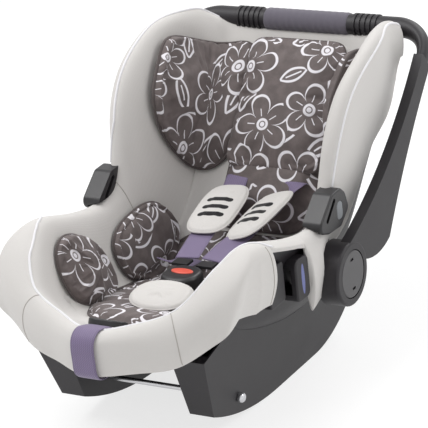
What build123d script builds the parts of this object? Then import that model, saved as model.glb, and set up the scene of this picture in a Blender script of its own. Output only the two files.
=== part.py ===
from build123d import *
from math import atan2, cos, hypot, radians, sin
from typing import NamedTuple
import os

os.makedirs("parts", exist_ok=True)


# Driving dimensions in millimetres: x to the seat's left and right, y from the feet to the head, z up.
# Bucket wall
lining_thick = 6.0
skirt_thick = 4.0
shell_wall = 3.5
layer_gap = 1.0
rim_roll_radius = 9.0
roll_inside_radius = 3.0
rim_over_shell = 5.0
seat_gap = 0.3
wall_seat = 0.7

# Carry handle and its hubs
hub_y, hub_z = 12.0, 163.5
bar_radius_from_hub = 427.0
bar_angle = 38.1
bar_diameter = 32.0
drum_radius = 48.0
drum_inner, drum_outer = 185.5, 221.0
arm_inner, arm_outer = 204.0, 220.0
elbow_radius = 55.0
arm_front_start, arm_front_waist = (20.0, 40.0), (160.0, 9.0)
arm_rear_bulge, arm_heel_tip = (215.0, -42.0), (105.0, -72.0)
arm_heel_round, arm_heel_end = (78.0, -62.0), (40.0, -26.0)
drum_edge = 4.0
end_float = 1.0
boss_radius, boss_depth = 38.0, 46.0
spigot_radius = 15.0
running_gap = 0.05
button_radius = 36.0
button_gap = 0.3
button_thick = 8.0
button_travel = 5.0
stem_radius = 8.0
grip_length, grip_thick = 156.0, 3.0
rib_count, rib_pitch, rib_width, rib_height = 5, 9.0, 5.0, 2.0
rib_start = 0.7
grip_edge_share = 0.6

button_edge = 3.0
button_slot_size, button_slot_depth, button_slot_share = (9.0, 4.0), 2.5, 0.62

# Belt guides on the rim, outlines as (y, z)
guide_outline = [(-50, 246), (-12, 233), (25, 231), (53, 251), (44, 278), (31, 289), (4, 288)]
guide_inner, guide_outer = 172.0, 202.5
guide_corner, guide_edge = 12.0, 3.0
guide_slot_at, guide_slot_turn, guide_slot_size = (-4, 266), 42.6, (40.0, 7.0)
guide_button_at, guide_button_size, guide_button_corner = (23, 257), (18.0, 28.0), 8.0
guide_button_recess, guide_button_travel, guide_button_edge = 10.0, 4.0, 1.5

# Bare stretch of each side and the lap-belt hook in it, as (y, z)
notch_outline = [(-172, 130), (-45, 130), (-45, 224), (-84, 230), (-172, 256)]
hook_at, hook_size, hook_corner = (-92, 197), (38.0, 64.0), 10.0
hook_outer, hook_bar = 197.0, 9.0
hook_gap_height = 40.0
hook_depth, hook_overcut = 60.0, 2.0
mark_size, mark_thick = (9.0, 46.0), 1.5
panel_at, panel_size, panel_corner = (-148, 208), (44.0, 60.0), 6.0
panel_outer = 186.0
panel_depth = 40.0

# Rocker runners
rocker_foot_x, rocker_inner_x = 120.0, 88.0
rocker_lean = 0.15
rocker_wall = 3.0
rocker_open_share = 20.0
rocker_reach = 400.0
rocker_flat = (-60.0, 58.0)
rocker_front, rocker_rear = (-257.0, 46.0), (157.0, 39.0)
rocker_brow, rocker_heel = (-291.0, 146.0), (150.0, 90.0)
rocker_top_front, rocker_top_rear = (-205.0, 170.0), (105.0, 125.0)
rod_y, rod_z = -184.0, 43.5
rod_diameter = 8.0
nut_radius = 7.5
nut_height, nut_dome = 8.0, 5.0

# Padded front roll
apron_thick, crest_radius, brow_step = 7.0, 16.0, 4.0

# Harness slots and straps
strap_width, strap_thick = 38.0, 2.0
slot_rise = 14.0
slot_x, slot_width, slot_height = 50.0, 50.0, 8.0
crotch_slot_y, crotch_slot_length = -150.0, 8.0
slot_reach = 70.0
strap_behind, strap_bend = 40.0, 8.0
tongue_at = (21.0, -50.0, 184.0)
tongue_width, tongue_thick = 26.0, 4.0
hip_strap_from, hip_strap_to = (68.0, 36.0, 143.5), (58.0, -44.0, 174.0)

# Buckle, crotch pad and shoulder pads
buckle_size, buckle_at = (60.0, 56.0, 22.0), (0.0, -100.0, 176.0)
buckle_corner, buckle_edge = 24.0, 7.0
red_button_at, red_button_size = (0.0, -98.0), (36.0, 17.0)
red_button_pocket, red_button_travel, red_button_proud = 9.0, 4.0, 1.5
crotch_pad_at, crotch_pad_size, crotch_pad_notch = (-162.0, 164.5), (112.0, 58.0, 12.0), (46.0, 36.0)
crotch_pad_tilt = 14.0
shoulder_pad_size, shoulder_pad_along, shoulder_pad_corner = (60.0, 86.0, 11.0), 62.0, 16.0
yoke_height, yoke_corner, yoke_slot, yoke_thick, yoke_gap = 34.0, 8.0, 6.0, 3.0, 2.0

# Harness adjuster on the front roll
adjuster_y, adjuster_size = -304.0, (58.0, 34.0, 9.0)
adjuster_edge, adjuster_round_share = 2.0, 0.48
lever_size, lever_thick, lever_pocket, lever_corner = (36.0, 18.0), 3.0, 6.0, 2.5
lever_pin_radius, lever_pin_reach, lever_pin_inset = 1.2, 2.0, 2.5
adjuster_strap_gap, adjuster_strap_tail = 1.0, 6.0

# Rear belt guide
rear_guide_size, rear_guide_thick, rear_guide_slot = (120.0, 36.0), 14.0, (92.0, 8.0)
rear_guide_corner, rear_guide_edge, rear_guide_overcut = 8.0, 3.0, 2.0

# Padded insert
pad_lift = 1.0
back_pad_half, back_pad_thick = 80.0, 18.0
seat_pad_half, seat_pad_thick = 88.0, 18.0
head_half, head_thick = 76.0, 24.0


class Station(NamedTuple):
    """One cross section of the bucket: a U that stands on the seat's centre line.

    floor is the middle of the padded surface and rim the piping on the wall's outer edge, both as (y, z).
    rim_x and foot_x are half widths of the outer wall at its top and its foot, wall is the thickness
    of the whole padded wall, bend the outer radius at the foot, and skirt how far the cover hangs outside.
    """

    floor: tuple
    rim: tuple
    rim_x: float
    foot_x: float
    wall: float
    bend: float
    skirt: float

    @property
    def depth(self):
        return hypot(self.rim[0] - self.floor[0], self.rim[1] - self.floor[1])

    @property
    def plane(self):
        up = Vector(0, self.rim[0] - self.floor[0], self.rim[1] - self.floor[1])
        return Plane(origin=(0, *self.floor), x_dir=(1, 0, 0), z_dir=Vector(1, 0, 0).cross(up))

    def wall_line(self, inset):
        """Foot and top of the wall at a distance inside its outer face, with the floor at the same inset."""
        lean = atan2(self.rim_x - self.foot_x, self.depth + self.wall)
        foot_t = inset - self.wall
        foot_x = self.foot_x + inset * (sin(lean) - 1) / cos(lean)
        top = (self.rim_x - inset * cos(lean), self.depth + inset * sin(lean))
        return (foot_x, foot_t), top, (sin(lean), cos(lean))


ear = Station((332, 404), (271, 458), 178, 150, 20, 45, 40)
crown = Station((304, 367), (209, 459), 195, 160, 23, 60, 105)
temple = Station((271, 324), (154, 445), 201, 165, 25, 70, 135)
shoulder = Station((227, 268), (91, 412), 200, 162, 27, 75, 145)
chest = Station((176, 204), (47, 348), 195, 158, 27, 75, 140)
elbow = Station((119, 150), (31, 292), 192, 152, 27, 70, 120)
hip = Station((44, 120), (6, 250), 193, 148, 27, 60, 70)
thigh = Station((-56, 119), (-75, 252), 196, 145, 27, 60, 60)
knee = Station((-136, 135), (-148, 274), 195, 140, 29, 60, 60)
shin = Station((-211, 154), (-203, 286), 193, 134, 32, 60, 70)
corner = Station((-280, 178), (-262, 258), 181, 130, 32, 45, 70)
stations = [ear, crown, temple, shoulder, chest, elbow, hip, thigh, knee, shin, corner]


def between(first, second, share):
    """A section part of the way from one station to the next."""

    def mix(a, b):
        return a + (b - a) * share

    values = []
    for a, b in zip(first, second):
        values.append(tuple(map(mix, a, b)) if isinstance(a, tuple) else mix(a, b))
    return Station(*values)


back_up = Vector(0, crown.floor[0] - chest.floor[0], crown.floor[1] - chest.floor[1]).normalized()
back_out = Vector(1, 0, 0).cross(back_up)
slot_middle = Vector(0, *chest.floor) + back_up * slot_rise


def harness_slots(through):
    """Cuts the two shoulder-strap slots square through the back."""
    with BuildSketch(Plane(origin=slot_middle, x_dir=(1, 0, 0), z_dir=back_out)) as slots:
        with Locations((slot_x, 0), (-slot_x, 0)):
            Rectangle(slot_width, slot_height)
    extrude(slots.sketch, amount=through, both=True, mode=Mode.SUBTRACT)


def crotch_slot(through):
    """Cuts the crotch strap's slot down through the seat."""
    with BuildSketch(Plane.XY.offset(thigh.floor[1])) as slot:
        with Locations((0, crotch_slot_y)):
            Rectangle(slot_width, crotch_slot_length)
    extrude(slot.sketch, amount=through, both=True, mode=Mode.SUBTRACT)


def channel(station, inner, outer, drop):
    """Draws a closed U between two insets, its top edges a drop below the piping."""
    profile, radii = [], []
    for inset in (inner, outer):
        foot, top, along = station.wall_line(inset)
        right = [(top[0] - drop * along[0], top[1] - drop * along[1]), foot]
        left = [(-x, t) for x, t in reversed(right)]
        bend = station.bend - inset
        side = right + left
        profile += side if inset == inner else side[::-1]
        radii += [0, bend, bend, 0]
    FilletPolyline(*profile, radius=radii, close=True)


shell_outer = skirt_thick + layer_gap
shell_inner = shell_outer + shell_wall
foam_outer = shell_inner + layer_gap

with BuildPart() as bucket_shell:
    for station in stations:
        with BuildSketch(station.plane):
            with BuildLine():
                channel(station, shell_inner, shell_outer, rim_over_shell + skirt_thick)
            make_face()
    loft()
    harness_slots(slot_reach)
    crotch_slot(slot_reach)
bucket_shell.part.label = "bucket_shell"
export_step(bucket_shell.part, "parts/bucket_shell.step")

with BuildPart() as foam_liner:
    for station in stations:
        foam_inner = station.wall - lining_thick - layer_gap
        with BuildSketch(station.plane):
            with BuildLine():
                channel(station, foam_inner, foam_outer, rim_over_shell + skirt_thick + layer_gap)
            make_face()
    loft()
    harness_slots(slot_reach)
    crotch_slot(slot_reach)
foam_liner.part.label = "foam_liner"
export_step(foam_liner.part, "parts/foam_liner.step")


def bucket_fill(inset, drop):
    """Lofts the whole bucket as one lump, out to an inset of its wall, to cut seats for what it carries."""
    with BuildPart() as lump:
        for station in stations:
            foot, top, along = station.wall_line(inset)
            right = [(top[0] - drop * along[0], top[1] - drop * along[1]), foot]
            loop = right + [(-x, t) for x, t in reversed(right)]
            bend = station.bend - inset
            with BuildSketch(station.plane):
                with BuildLine():
                    FilletPolyline(*loop, radius=[0, bend, bend, 0], close=True)
                make_face()
        loft()
    return lump.part


def skirt_notch():
    """The gaps in the cover's sides that lay the shell and its belt hooks bare, outside the shell only."""
    with BuildPart() as notch:
        with BuildSketch(Plane.YZ):
            with BuildLine():
                Polyline(*notch_outline, close=True)
            make_face()
            with Locations((hub_y, hub_z)):
                Circle(boss_radius + layer_gap)
        extrude(amount=arm_outer, both=True)
        add(bucket_fill(skirt_thick + layer_gap / 2, 0), mode=Mode.SUBTRACT)
    return notch.part


def hooked_cover(station):
    """Draws the cover's section: the lining, the roll over the rim and the skirt outside."""
    foot, top, along = station.wall_line(station.wall)
    under_foot, under_top, _ = station.wall_line(station.wall - lining_thick)
    skirt_in, skirt_out = station.wall_line(skirt_thick)[1], station.wall_line(0)[1]

    def down(point, distance):
        return (point[0] - distance * along[0], point[1] - distance * along[1])

    right = [
        (foot, station.bend - station.wall),
        (top, rim_roll_radius),
        (skirt_out, rim_roll_radius),
        (down(skirt_out, station.skirt), 0),
        (down(skirt_in, station.skirt), 0),
        (down(skirt_in, rim_over_shell), roll_inside_radius),
        (down(under_top, rim_over_shell), roll_inside_radius),
        (under_foot, station.bend - station.wall + lining_thick),
    ]
    left = [((-x, t), r) for (x, t), r in reversed(right)]
    loop = right + left
    FilletPolyline(*[p for p, _ in loop], radius=[r for _, r in loop], close=True)


with BuildPart() as seat_cover:
    for station in stations:
        with BuildSketch(station.plane):
            with BuildLine():
                hooked_cover(station)
            make_face()
    loft()
    harness_slots(slot_reach)
    crotch_slot(slot_reach)
    add(skirt_notch(), mode=Mode.SUBTRACT)
seat_cover.part.label = "seat_cover"
export_step(seat_cover.part, "parts/seat_cover.step")


def export_pair(part, name):
    """Writes a right-hand piece and its mirror image across the seat's middle."""
    part.label = f"{name}_right"
    export_step(part, f"parts/{name}_right.step")
    with BuildPart() as twin:
        mirror(part, about=Plane.YZ)
    twin.part.label = f"{name}_left"
    export_step(twin.part, f"parts/{name}_left.step")


bucket_lump = bucket_fill(shell_outer - seat_gap, rim_over_shell)


def rocker_outline(inset):
    """Draws a rocker's side view, a flat foot between two rising arcs, drawn in by an inset."""
    flat_front, flat_rear = rocker_flat
    front = (rocker_front[0] + inset, rocker_front[1] + inset)
    rear = (rocker_rear[0] - inset, rocker_rear[1] + inset)
    sole = Line((flat_front, inset), (flat_rear, inset))
    front_arc = TangentArc((flat_front, inset), front, tangent=(-1, 0))
    rear_arc = TangentArc((flat_rear, inset), rear, tangent=(1, 0))
    open_top = inset * rocker_open_share
    Polyline(
        front_arc @ 1,
        (rocker_brow[0] + inset, rocker_brow[1] + open_top),
        (rocker_top_front[0], rocker_top_front[1] + open_top),
        (rocker_top_rear[0], rocker_top_rear[1] + open_top),
        (rocker_heel[0] - inset, rocker_heel[1] + open_top),
        rear_arc @ 1,
    )


def leaning_block(inset, height):
    """Draws a rocker's cross section, upright inside and leaning out on the outer side."""
    outer_top = rocker_foot_x + rocker_lean * height
    Polyline(
        (rocker_inner_x + inset, 0),
        (rocker_foot_x - inset, 0),
        (outer_top - inset, height),
        (rocker_inner_x + inset, height),
        close=True,
    )


def rocker_solid(inset):
    """Crosses the side view with the cross section."""
    with BuildPart() as runner:
        with BuildSketch(Plane.YZ):
            with BuildLine():
                rocker_outline(inset)
            make_face()
        extrude(amount=rocker_reach)
        with BuildSketch(Plane.XZ):
            with BuildLine():
                leaning_block(inset, rocker_reach)
            make_face()
        extrude(amount=rocker_reach, both=True, mode=Mode.INTERSECT)
    return runner.part


rocker_core = rocker_solid(rocker_wall)
with BuildPart() as rocker_right:
    add(rocker_solid(0))
    add(rocker_core, mode=Mode.SUBTRACT)
    add(bucket_lump, mode=Mode.SUBTRACT)
    with BuildSketch(Plane.YZ):
        with Locations((rod_y, rod_z)):
            Circle(rod_diameter / 2 + running_gap)
    extrude(amount=rocker_foot_x * 2, mode=Mode.SUBTRACT)
export_pair(rocker_right.part, "rocker")


class RollCut(NamedTuple):
    """One upright cut through the padded front roll, each point as (y, z)."""

    x: float
    back: tuple
    crest: tuple
    hem: tuple
    under: tuple
    rear: tuple


roll_cuts = [
    RollCut(0, (-283, 179), (-352, 214), (-367, 134), (-353, 160), (-289, 150)),
    RollCut(75, (-283, 179), (-322, 214), (-336, 135), (-321, 160), (-289, 150)),
    RollCut(122, (-273, 216), (-304, 228), (-319, 146), (-304, 176), (-287, 156)),
    RollCut(152, (-265, 252), (-286, 252), (-305, 168), (-290, 206), (-277, 205)),
    RollCut(172, (-264, 256), (-273, 259), (-291, 192), (-277, 228), (-271, 232)),
]
with BuildPart() as front_roll:
    left_cuts = [cut._replace(x=-cut.x) for cut in reversed(roll_cuts[1:])]
    for cut in left_cuts + roll_cuts:
        brow = (cut.hem[0] + brow_step, (cut.crest[1] + cut.hem[1]) / 2)
        hem_inside = (cut.hem[0] + apron_thick, cut.hem[1])
        outline = [cut.back, cut.crest, brow, cut.hem, hem_inside, cut.under, cut.rear]
        bend = min(crest_radius, 0.4 * hypot(cut.back[0] - cut.crest[0], cut.back[1] - cut.crest[1]))
        with BuildSketch(Plane.YZ.offset(cut.x)):
            with BuildLine():
                FilletPolyline(*outline, radius=[0, bend, bend, 0, 0, 0, 0], close=True)
            make_face()
    loft()
front_roll.part.label = "front_roll"
export_step(front_roll.part, "parts/front_roll.step")

# Steel rod between the rockers, with a domed nut on each end
rod_end = rocker_foot_x + rocker_lean * (rod_z + nut_radius) + seat_gap
with BuildPart() as cross_rod:
    with BuildSketch(Plane.YZ):
        with Locations((rod_y, rod_z)):
            Circle(rod_diameter / 2)
    extrude(amount=rod_end, both=True)
cross_rod.part.label = "cross_rod"
export_step(cross_rod.part, "parts/cross_rod.step")

with BuildPart() as rod_nuts:
    for side in (1, -1):
        with BuildSketch(Plane(origin=(side * rod_end, rod_y, rod_z), x_dir=(0, 1, 0), z_dir=(side, 0, 0))):
            Circle(nut_radius)
        extrude(amount=nut_height)
    fillet(rod_nuts.faces().sort_by(Axis.X)[-1].edges() + rod_nuts.faces().sort_by(Axis.X)[0].edges(), nut_dome)
rod_nuts.part.label = "rod_nuts"
export_step(rod_nuts.part, "parts/rod_nuts.step")

# Handle hubs: a boss on the shell carries a spigot, the handle's drum turns on it
hub_plane = Plane(origin=(0, hub_y, hub_z), x_dir=(0, 1, 0), z_dir=(1, 0, 0))
boss_face = drum_inner - seat_gap
recess_floor = drum_outer - button_thick - button_travel - end_float
spigot_end = recess_floor - seat_gap
stem_bore_end = boss_face + 2 * end_float

with BuildPart() as pivot_boss:
    with BuildSketch(hub_plane.offset(boss_face - boss_depth)):
        Circle(boss_radius)
    extrude(amount=boss_depth)
    with BuildSketch(hub_plane.offset(boss_face)):
        Circle(spigot_radius)
    extrude(amount=spigot_end - boss_face)
    with BuildSketch(hub_plane.offset(stem_bore_end)):
        Circle(stem_radius + running_gap)
    extrude(amount=spigot_end - stem_bore_end, mode=Mode.SUBTRACT)
    add(bucket_lump, mode=Mode.SUBTRACT)
export_pair(pivot_boss.part, "pivot_boss")

# Handle: (u, v) run along the arm and square to it, from the hub
arm_dir = Vector(0, cos(radians(bar_angle)), sin(radians(bar_angle)))
arm_plane = Plane(origin=(0, hub_y, hub_z), x_dir=arm_dir, z_dir=(1, 0, 0))
elbow_start = bar_radius_from_hub - elbow_radius
arm_middle = (arm_inner + arm_outer) / 2
elbow_end_x = arm_middle - elbow_radius

with BuildPart() as handle_arm:
    with BuildSketch(arm_plane.offset(drum_inner)):
        Circle(drum_radius)
    extrude(amount=drum_outer - drum_inner)
    fillet(handle_arm.faces().sort_by(Axis.X)[-1].edges(), drum_edge)
    with BuildSketch(arm_plane.offset(arm_inner)):
        with BuildLine():
            front_edge = ThreePointArc(arm_front_start, arm_front_waist, (elbow_start, bar_diameter / 2))
            tip = Line(front_edge @ 1, (elbow_start, -bar_diameter / 2))
            rear_edge = ThreePointArc(tip @ 1, arm_rear_bulge, arm_heel_tip)
            heel_edge = ThreePointArc(rear_edge @ 1, arm_heel_round, arm_heel_end)
            Line(heel_edge @ 1, front_edge @ 0)
        make_face()
    extrude(amount=arm_outer - arm_inner)
    with BuildSketch(hub_plane.offset(drum_inner)):
        Circle(spigot_radius + running_gap)
    extrude(amount=drum_outer - drum_inner, mode=Mode.SUBTRACT)
    with BuildSketch(hub_plane.offset(recess_floor)):
        Circle(button_radius + button_gap)
    extrude(amount=drum_outer - recess_floor, mode=Mode.SUBTRACT)
    elbow_path_plane = Plane(origin=(0, hub_y, hub_z), x_dir=(1, 0, 0), z_dir=Vector(1, 0, 0).cross(arm_dir))
    with BuildLine(elbow_path_plane):
        CenterArc((elbow_end_x, elbow_start), elbow_radius, 0, 90)
    with BuildSketch(Plane(origin=arm_plane.from_local_coords((elbow_start, 0, arm_middle)),
                           x_dir=(1, 0, 0), z_dir=arm_dir)):
        Ellipse((arm_outer - arm_inner) / 2, bar_diameter / 2)
    with BuildSketch(Plane(origin=arm_plane.from_local_coords((bar_radius_from_hub, 0, elbow_end_x)),
                           x_dir=arm_dir, z_dir=(-1, 0, 0))):
        Circle(bar_diameter / 2)
    sweep(multisection=True)
export_pair(handle_arm.part, "handle_arm")

bar_axis_plane = Plane(origin=arm_plane.from_local_coords((bar_radius_from_hub, 0, 0)), x_dir=arm_dir, z_dir=(1, 0, 0))
with BuildPart() as handle_bar:
    with BuildSketch(bar_axis_plane):
        Circle(bar_diameter / 2)
    extrude(amount=elbow_end_x, both=True)
    for index in range(rib_count):
        for side in (1, -1):
            with BuildSketch(bar_axis_plane.offset(side * (grip_length / 2 + rib_pitch * (index + rib_start)))):
                Circle(bar_diameter / 2 + rib_height)
            extrude(amount=rib_width / 2, both=True)
handle_bar.part.label = "handle_bar"
export_step(handle_bar.part, "parts/handle_bar.step")

with BuildPart() as handle_grip:
    with BuildSketch(bar_axis_plane):
        Circle(bar_diameter / 2 + grip_thick)
        Circle(bar_diameter / 2, mode=Mode.SUBTRACT)
    extrude(amount=grip_length / 2, both=True)
    outer_rims = handle_grip.edges().filter_by(GeomType.CIRCLE).group_by(SortBy.RADIUS)[-1]
    fillet(outer_rims, grip_thick * grip_edge_share)
handle_grip.part.label = "handle_grip"
export_step(handle_grip.part, "parts/handle_grip.step")

# Push buttons in the hubs, each with a stem in its spigot and two slots in its face
button_back = drum_outer - button_thick
with BuildPart() as handle_button:
    with BuildSketch(hub_plane.offset(button_back)):
        Circle(button_radius)
    extrude(amount=button_thick)
    fillet(handle_button.faces().sort_by(Axis.X)[-1].edges(), button_edge)
    with BuildSketch(hub_plane.offset(drum_outer - button_slot_depth)):
        with Locations((0, button_radius * button_slot_share), (0, -button_radius * button_slot_share)):
            Rectangle(button_slot_size[0], button_slot_size[1])
    extrude(amount=button_slot_depth, mode=Mode.SUBTRACT)
    with BuildSketch(hub_plane.offset(stem_bore_end + button_travel + end_float)):
        Circle(stem_radius)
    extrude(amount=button_back - stem_bore_end - button_travel - end_float)
export_pair(handle_button.part, "handle_button")


def wall_channel():
    """Lofts the padded wall and its roll, with a seat's gap all round, to cut what straddles it."""
    with BuildPart() as lump:
        for station in stations:
            with BuildSketch(station.plane):
                with BuildLine():
                    channel(station, station.wall + wall_seat, -wall_seat, -wall_seat)
                make_face()
        loft()
    return lump.part


padded_wall = wall_channel()

# Belt guides: clips that stand on the rim between wing and leg wall, each with a slot and a button
with BuildPart() as belt_guide:
    with BuildSketch(Plane.YZ.offset(guide_inner)):
        with BuildLine():
            FilletPolyline(*guide_outline, radius=guide_corner, close=True)
        make_face()
        with Locations(Location(guide_slot_at, guide_slot_turn)):
            SlotOverall(guide_slot_size[0], guide_slot_size[1], mode=Mode.SUBTRACT)
    extrude(amount=guide_outer - guide_inner)
    fillet(belt_guide.faces().sort_by(Axis.X)[-1].outer_wire().edges(), guide_edge)
    with BuildSketch(Plane.YZ.offset(guide_outer - guide_button_recess)):
        with Locations(guide_button_at):
            RectangleRounded(guide_button_size[0] + 2 * button_gap, guide_button_size[1] + 2 * button_gap,
                             guide_button_corner + button_gap)
    extrude(amount=guide_button_recess, mode=Mode.SUBTRACT)
    add(padded_wall, mode=Mode.SUBTRACT)
export_pair(belt_guide.part, "belt_guide")

with BuildPart() as guide_button:
    with BuildSketch(Plane.YZ.offset(guide_outer - guide_button_recess + guide_button_travel + seat_gap)):
        with Locations(guide_button_at):
            RectangleRounded(*guide_button_size, guide_button_corner)
    extrude(amount=guide_button_recess - guide_button_travel)
    fillet(guide_button.faces().sort_by(Axis.X)[-1].edges(), guide_button_edge)
export_pair(guide_button.part, "guide_button")


def pad_along(sections, lift, corner_share):
    """Lofts a pad that follows the seat: each section is a station, a half width and a thickness."""
    cuts = []
    for station, half, thick in sections:
        with BuildSketch(station.plane) as cut:
            with Locations((0, lift + thick / 2)):
                RectangleRounded(2 * half, thick, thick * corner_share)
        cuts.append(cut.sketch)
    loft(cuts)


with BuildPart() as back_pad:
    pad_along(
        [
            (chest, back_pad_half, back_pad_thick),
            (between(chest, shoulder, 0.5), back_pad_half, back_pad_thick),
            (shoulder, back_pad_half, back_pad_thick),
            (temple, back_pad_half, back_pad_thick),
        ],
        pad_lift, 0.4,
    )
    harness_slots(slot_reach)
back_pad.part.label = "back_pad"
export_step(back_pad.part, "parts/back_pad.step")

with BuildPart() as seat_pad:
    pad_along(
        [
            (between(elbow, chest, 0.3), seat_pad_half * 0.85, seat_pad_thick),
            (elbow, seat_pad_half * 0.9, seat_pad_thick),
            (hip, seat_pad_half, seat_pad_thick),
            (thigh, seat_pad_half, seat_pad_thick),
            (knee, seat_pad_half, seat_pad_thick),
            (shin, seat_pad_half, seat_pad_thick),
            (between(shin, corner, 0.5), seat_pad_half * 0.9, seat_pad_thick * 0.6),
        ],
        pad_lift, 0.4,
    )
    crotch_slot(slot_reach)
seat_pad.part.label = "seat_pad"
export_step(seat_pad.part, "parts/seat_pad.step")

with BuildPart() as head_cushion:
    pad_along(
        [
            (between(chest, shoulder, 0.45), head_half * 0.92, head_thick * 0.5),
            (between(chest, shoulder, 0.6), head_half, head_thick * 0.9),
            (shoulder, head_half, head_thick),
            (temple, head_half, head_thick),
            (between(temple, crown, 0.75), head_half, head_thick),
            (crown, head_half * 0.95, head_thick * 0.7),
        ],
        pad_lift + back_pad_thick + pad_lift, 0.45,
    )
head_cushion.part.label = "head_cushion"
export_step(head_cushion.part, "parts/head_cushion.step")


def wall_lobe(sections):
    """Lofts a cushion that leans on the wall: station, centre (x, t), long and short half axes, turn."""
    cuts = []
    for station, centre, long_half, short_half, turn in sections:
        with BuildSketch(station.plane) as cut:
            with Locations(centre):
                Ellipse(long_half, short_half, rotation=turn)
        cuts.append(cut.sketch)
    loft(cuts)


with BuildPart() as head_lobe:
    wall_lobe([
        (between(shoulder, chest, 0.4), (117, 53), 24, 7, 52),
        (between(shoulder, chest, 0.15), (118, 57), 44, 15, 52),
        (between(shoulder, temple, 0.6), (121, 61), 52, 18, 54),
        (between(temple, crown, 0.4), (118, 61), 50, 17, 54),
        (between(temple, crown, 0.95), (111, 51), 32, 9, 52),
    ])
export_pair(head_lobe.part, "head_lobe")

with BuildPart() as thigh_bolster:
    wall_lobe([
        (between(thigh, knee, 0.15), (129, 64), 22, 6, 72),
        (between(thigh, knee, 0.45), (125, 64), 42, 14, 72),
        (knee, (120, 64), 46, 15, 72),
        (between(knee, shin, 0.35), (118, 66), 40, 13, 72),
        (between(knee, shin, 0.65), (118, 68), 22, 6, 70),
    ])
export_pair(thigh_bolster.part, "thigh_bolster")

with BuildPart() as hip_bolster:
    wall_lobe([
        (between(elbow, hip, 0.45), (122, 62), 24, 7, 68),
        (between(elbow, hip, 0.8), (119, 64), 46, 18, 68),
        (between(hip, thigh, 0.2), (117, 64), 52, 20, 68),
        (between(hip, thigh, 0.55), (119, 64), 46, 18, 70),
        (between(hip, thigh, 0.9), (126, 64), 24, 7, 70),
    ])
export_pair(hip_bolster.part, "hip_bolster")

# Lap-belt hooks in the bare sides: a bar on two feet, with a coloured inlay
with BuildPart() as belt_hook:
    with BuildSketch(Plane.YZ.offset(hook_outer)):
        with Locations(hook_at):
            RectangleRounded(*hook_size, hook_corner)
    extrude(amount=-hook_depth)
    fillet(belt_hook.faces().sort_by(Axis.X)[-1].edges(), hook_bar / 3)
    with BuildSketch(Plane.YZ.offset(hook_outer - hook_bar)):
        with Locations(hook_at):
            Rectangle(hook_size[0] + hook_overcut, hook_gap_height)
    extrude(amount=-hook_depth, mode=Mode.SUBTRACT)
    with BuildSketch(Plane.YZ.offset(hook_outer - mark_thick)):
        with Locations(hook_at):
            Ellipse(mark_size[0] / 2, mark_size[1] / 2)
    extrude(amount=mark_thick, mode=Mode.SUBTRACT)
    add(bucket_lump, mode=Mode.SUBTRACT)
export_pair(belt_hook.part, "belt_hook")

with BuildPart() as belt_mark:
    with BuildSketch(Plane.YZ.offset(hook_outer - mark_thick)):
        with Locations(hook_at):
            Ellipse(mark_size[0] / 2, mark_size[1] / 2)
    extrude(amount=mark_thick)
export_pair(belt_mark.part, "belt_mark")

with BuildPart() as side_panel:
    with BuildSketch(Plane.YZ.offset(panel_outer)):
        with Locations(panel_at):
            RectangleRounded(*panel_size, panel_corner)
    extrude(amount=-panel_depth)
    fillet(side_panel.faces().sort_by(Axis.X)[-1].outer_wire().edges(), panel_corner / 3)
    add(bucket_lump, mode=Mode.SUBTRACT)
export_pair(side_panel.part, "side_panel")


def webbing(start, end, waypoints, reach):
    """A flat strap in the upright plane from start to end, with its waypoints as (distance, z)."""
    run = Vector(end[0] - start[0], end[1] - start[1], 0)
    plane = Plane(origin=(start[0], start[1], 0), x_dir=run, z_dir=run.cross(Vector(0, 0, 1)))
    with BuildSketch(plane) as ribbon:
        with BuildLine() as route:
            FilletPolyline(*waypoints, radius=reach)
        trace(route.line, line_width=strap_thick)
    extrude(ribbon.sketch, amount=strap_width / 2, both=True)


def run_length(start, end):
    return hypot(end[0] - start[0], end[1] - start[1])


slot_front = slot_middle + back_out * (pad_lift + back_pad_thick + strap_thick)
slot_behind = slot_middle - back_out * strap_behind
tongue_run = run_length((slot_x, slot_behind.Y), tongue_at[:2])

with BuildPart() as shoulder_strap:
    webbing(
        (slot_x, slot_behind.Y), tongue_at[:2],
        [
            (0, slot_behind.Z),
            (slot_behind.Y - slot_front.Y, slot_front.Z),
            (tongue_run, tongue_at[2]),
        ],
        strap_bend,
    )
export_pair(shoulder_strap.part, "shoulder_strap")

with BuildPart() as hip_strap:
    hip_run = run_length(hip_strap_from[:2], hip_strap_to[:2])
    webbing(
        hip_strap_from[:2], hip_strap_to[:2],
        [(0, hip_strap_from[2]), (hip_run * 0.45, hip_strap_from[2] + 6), (hip_run, hip_strap_to[2])],
        strap_bend,
    )
export_pair(hip_strap.part, "hip_strap")

buckle_back = buckle_at[1] + buckle_size[1] / 2
buckle_front = buckle_at[1] - buckle_size[1] / 2
buckle_top = buckle_at[2] + buckle_size[2] / 2

with BuildPart() as buckle_tongue:
    with BuildSketch(Plane.XY.offset(tongue_at[2] - tongue_thick / 2)):
        with Locations((tongue_at[0], (tongue_at[1] - strap_thick + buckle_back) / 2)):
            Rectangle(tongue_width, tongue_at[1] - strap_thick - buckle_back - 2 * seat_gap)
    extrude(amount=tongue_thick)
export_pair(buckle_tongue.part, "buckle_tongue")

with BuildPart() as buckle_body:
    with BuildSketch(Plane.XY.offset(buckle_at[2] - buckle_size[2] / 2)):
        with Locations(buckle_at[:2]):
            RectangleRounded(buckle_size[0], buckle_size[1], buckle_corner)
    extrude(amount=buckle_size[2])
    fillet(buckle_body.faces().sort_by(Axis.Z)[-1].edges(), buckle_edge)
    with BuildSketch(Plane.XY.offset(buckle_top - red_button_pocket)):
        with Locations(red_button_at):
            Ellipse(red_button_size[0] / 2 + button_gap, red_button_size[1] / 2 + button_gap)
    extrude(amount=red_button_pocket, mode=Mode.SUBTRACT)
buckle_body.part.label = "buckle_body"
export_step(buckle_body.part, "parts/buckle_body.step")

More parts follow.
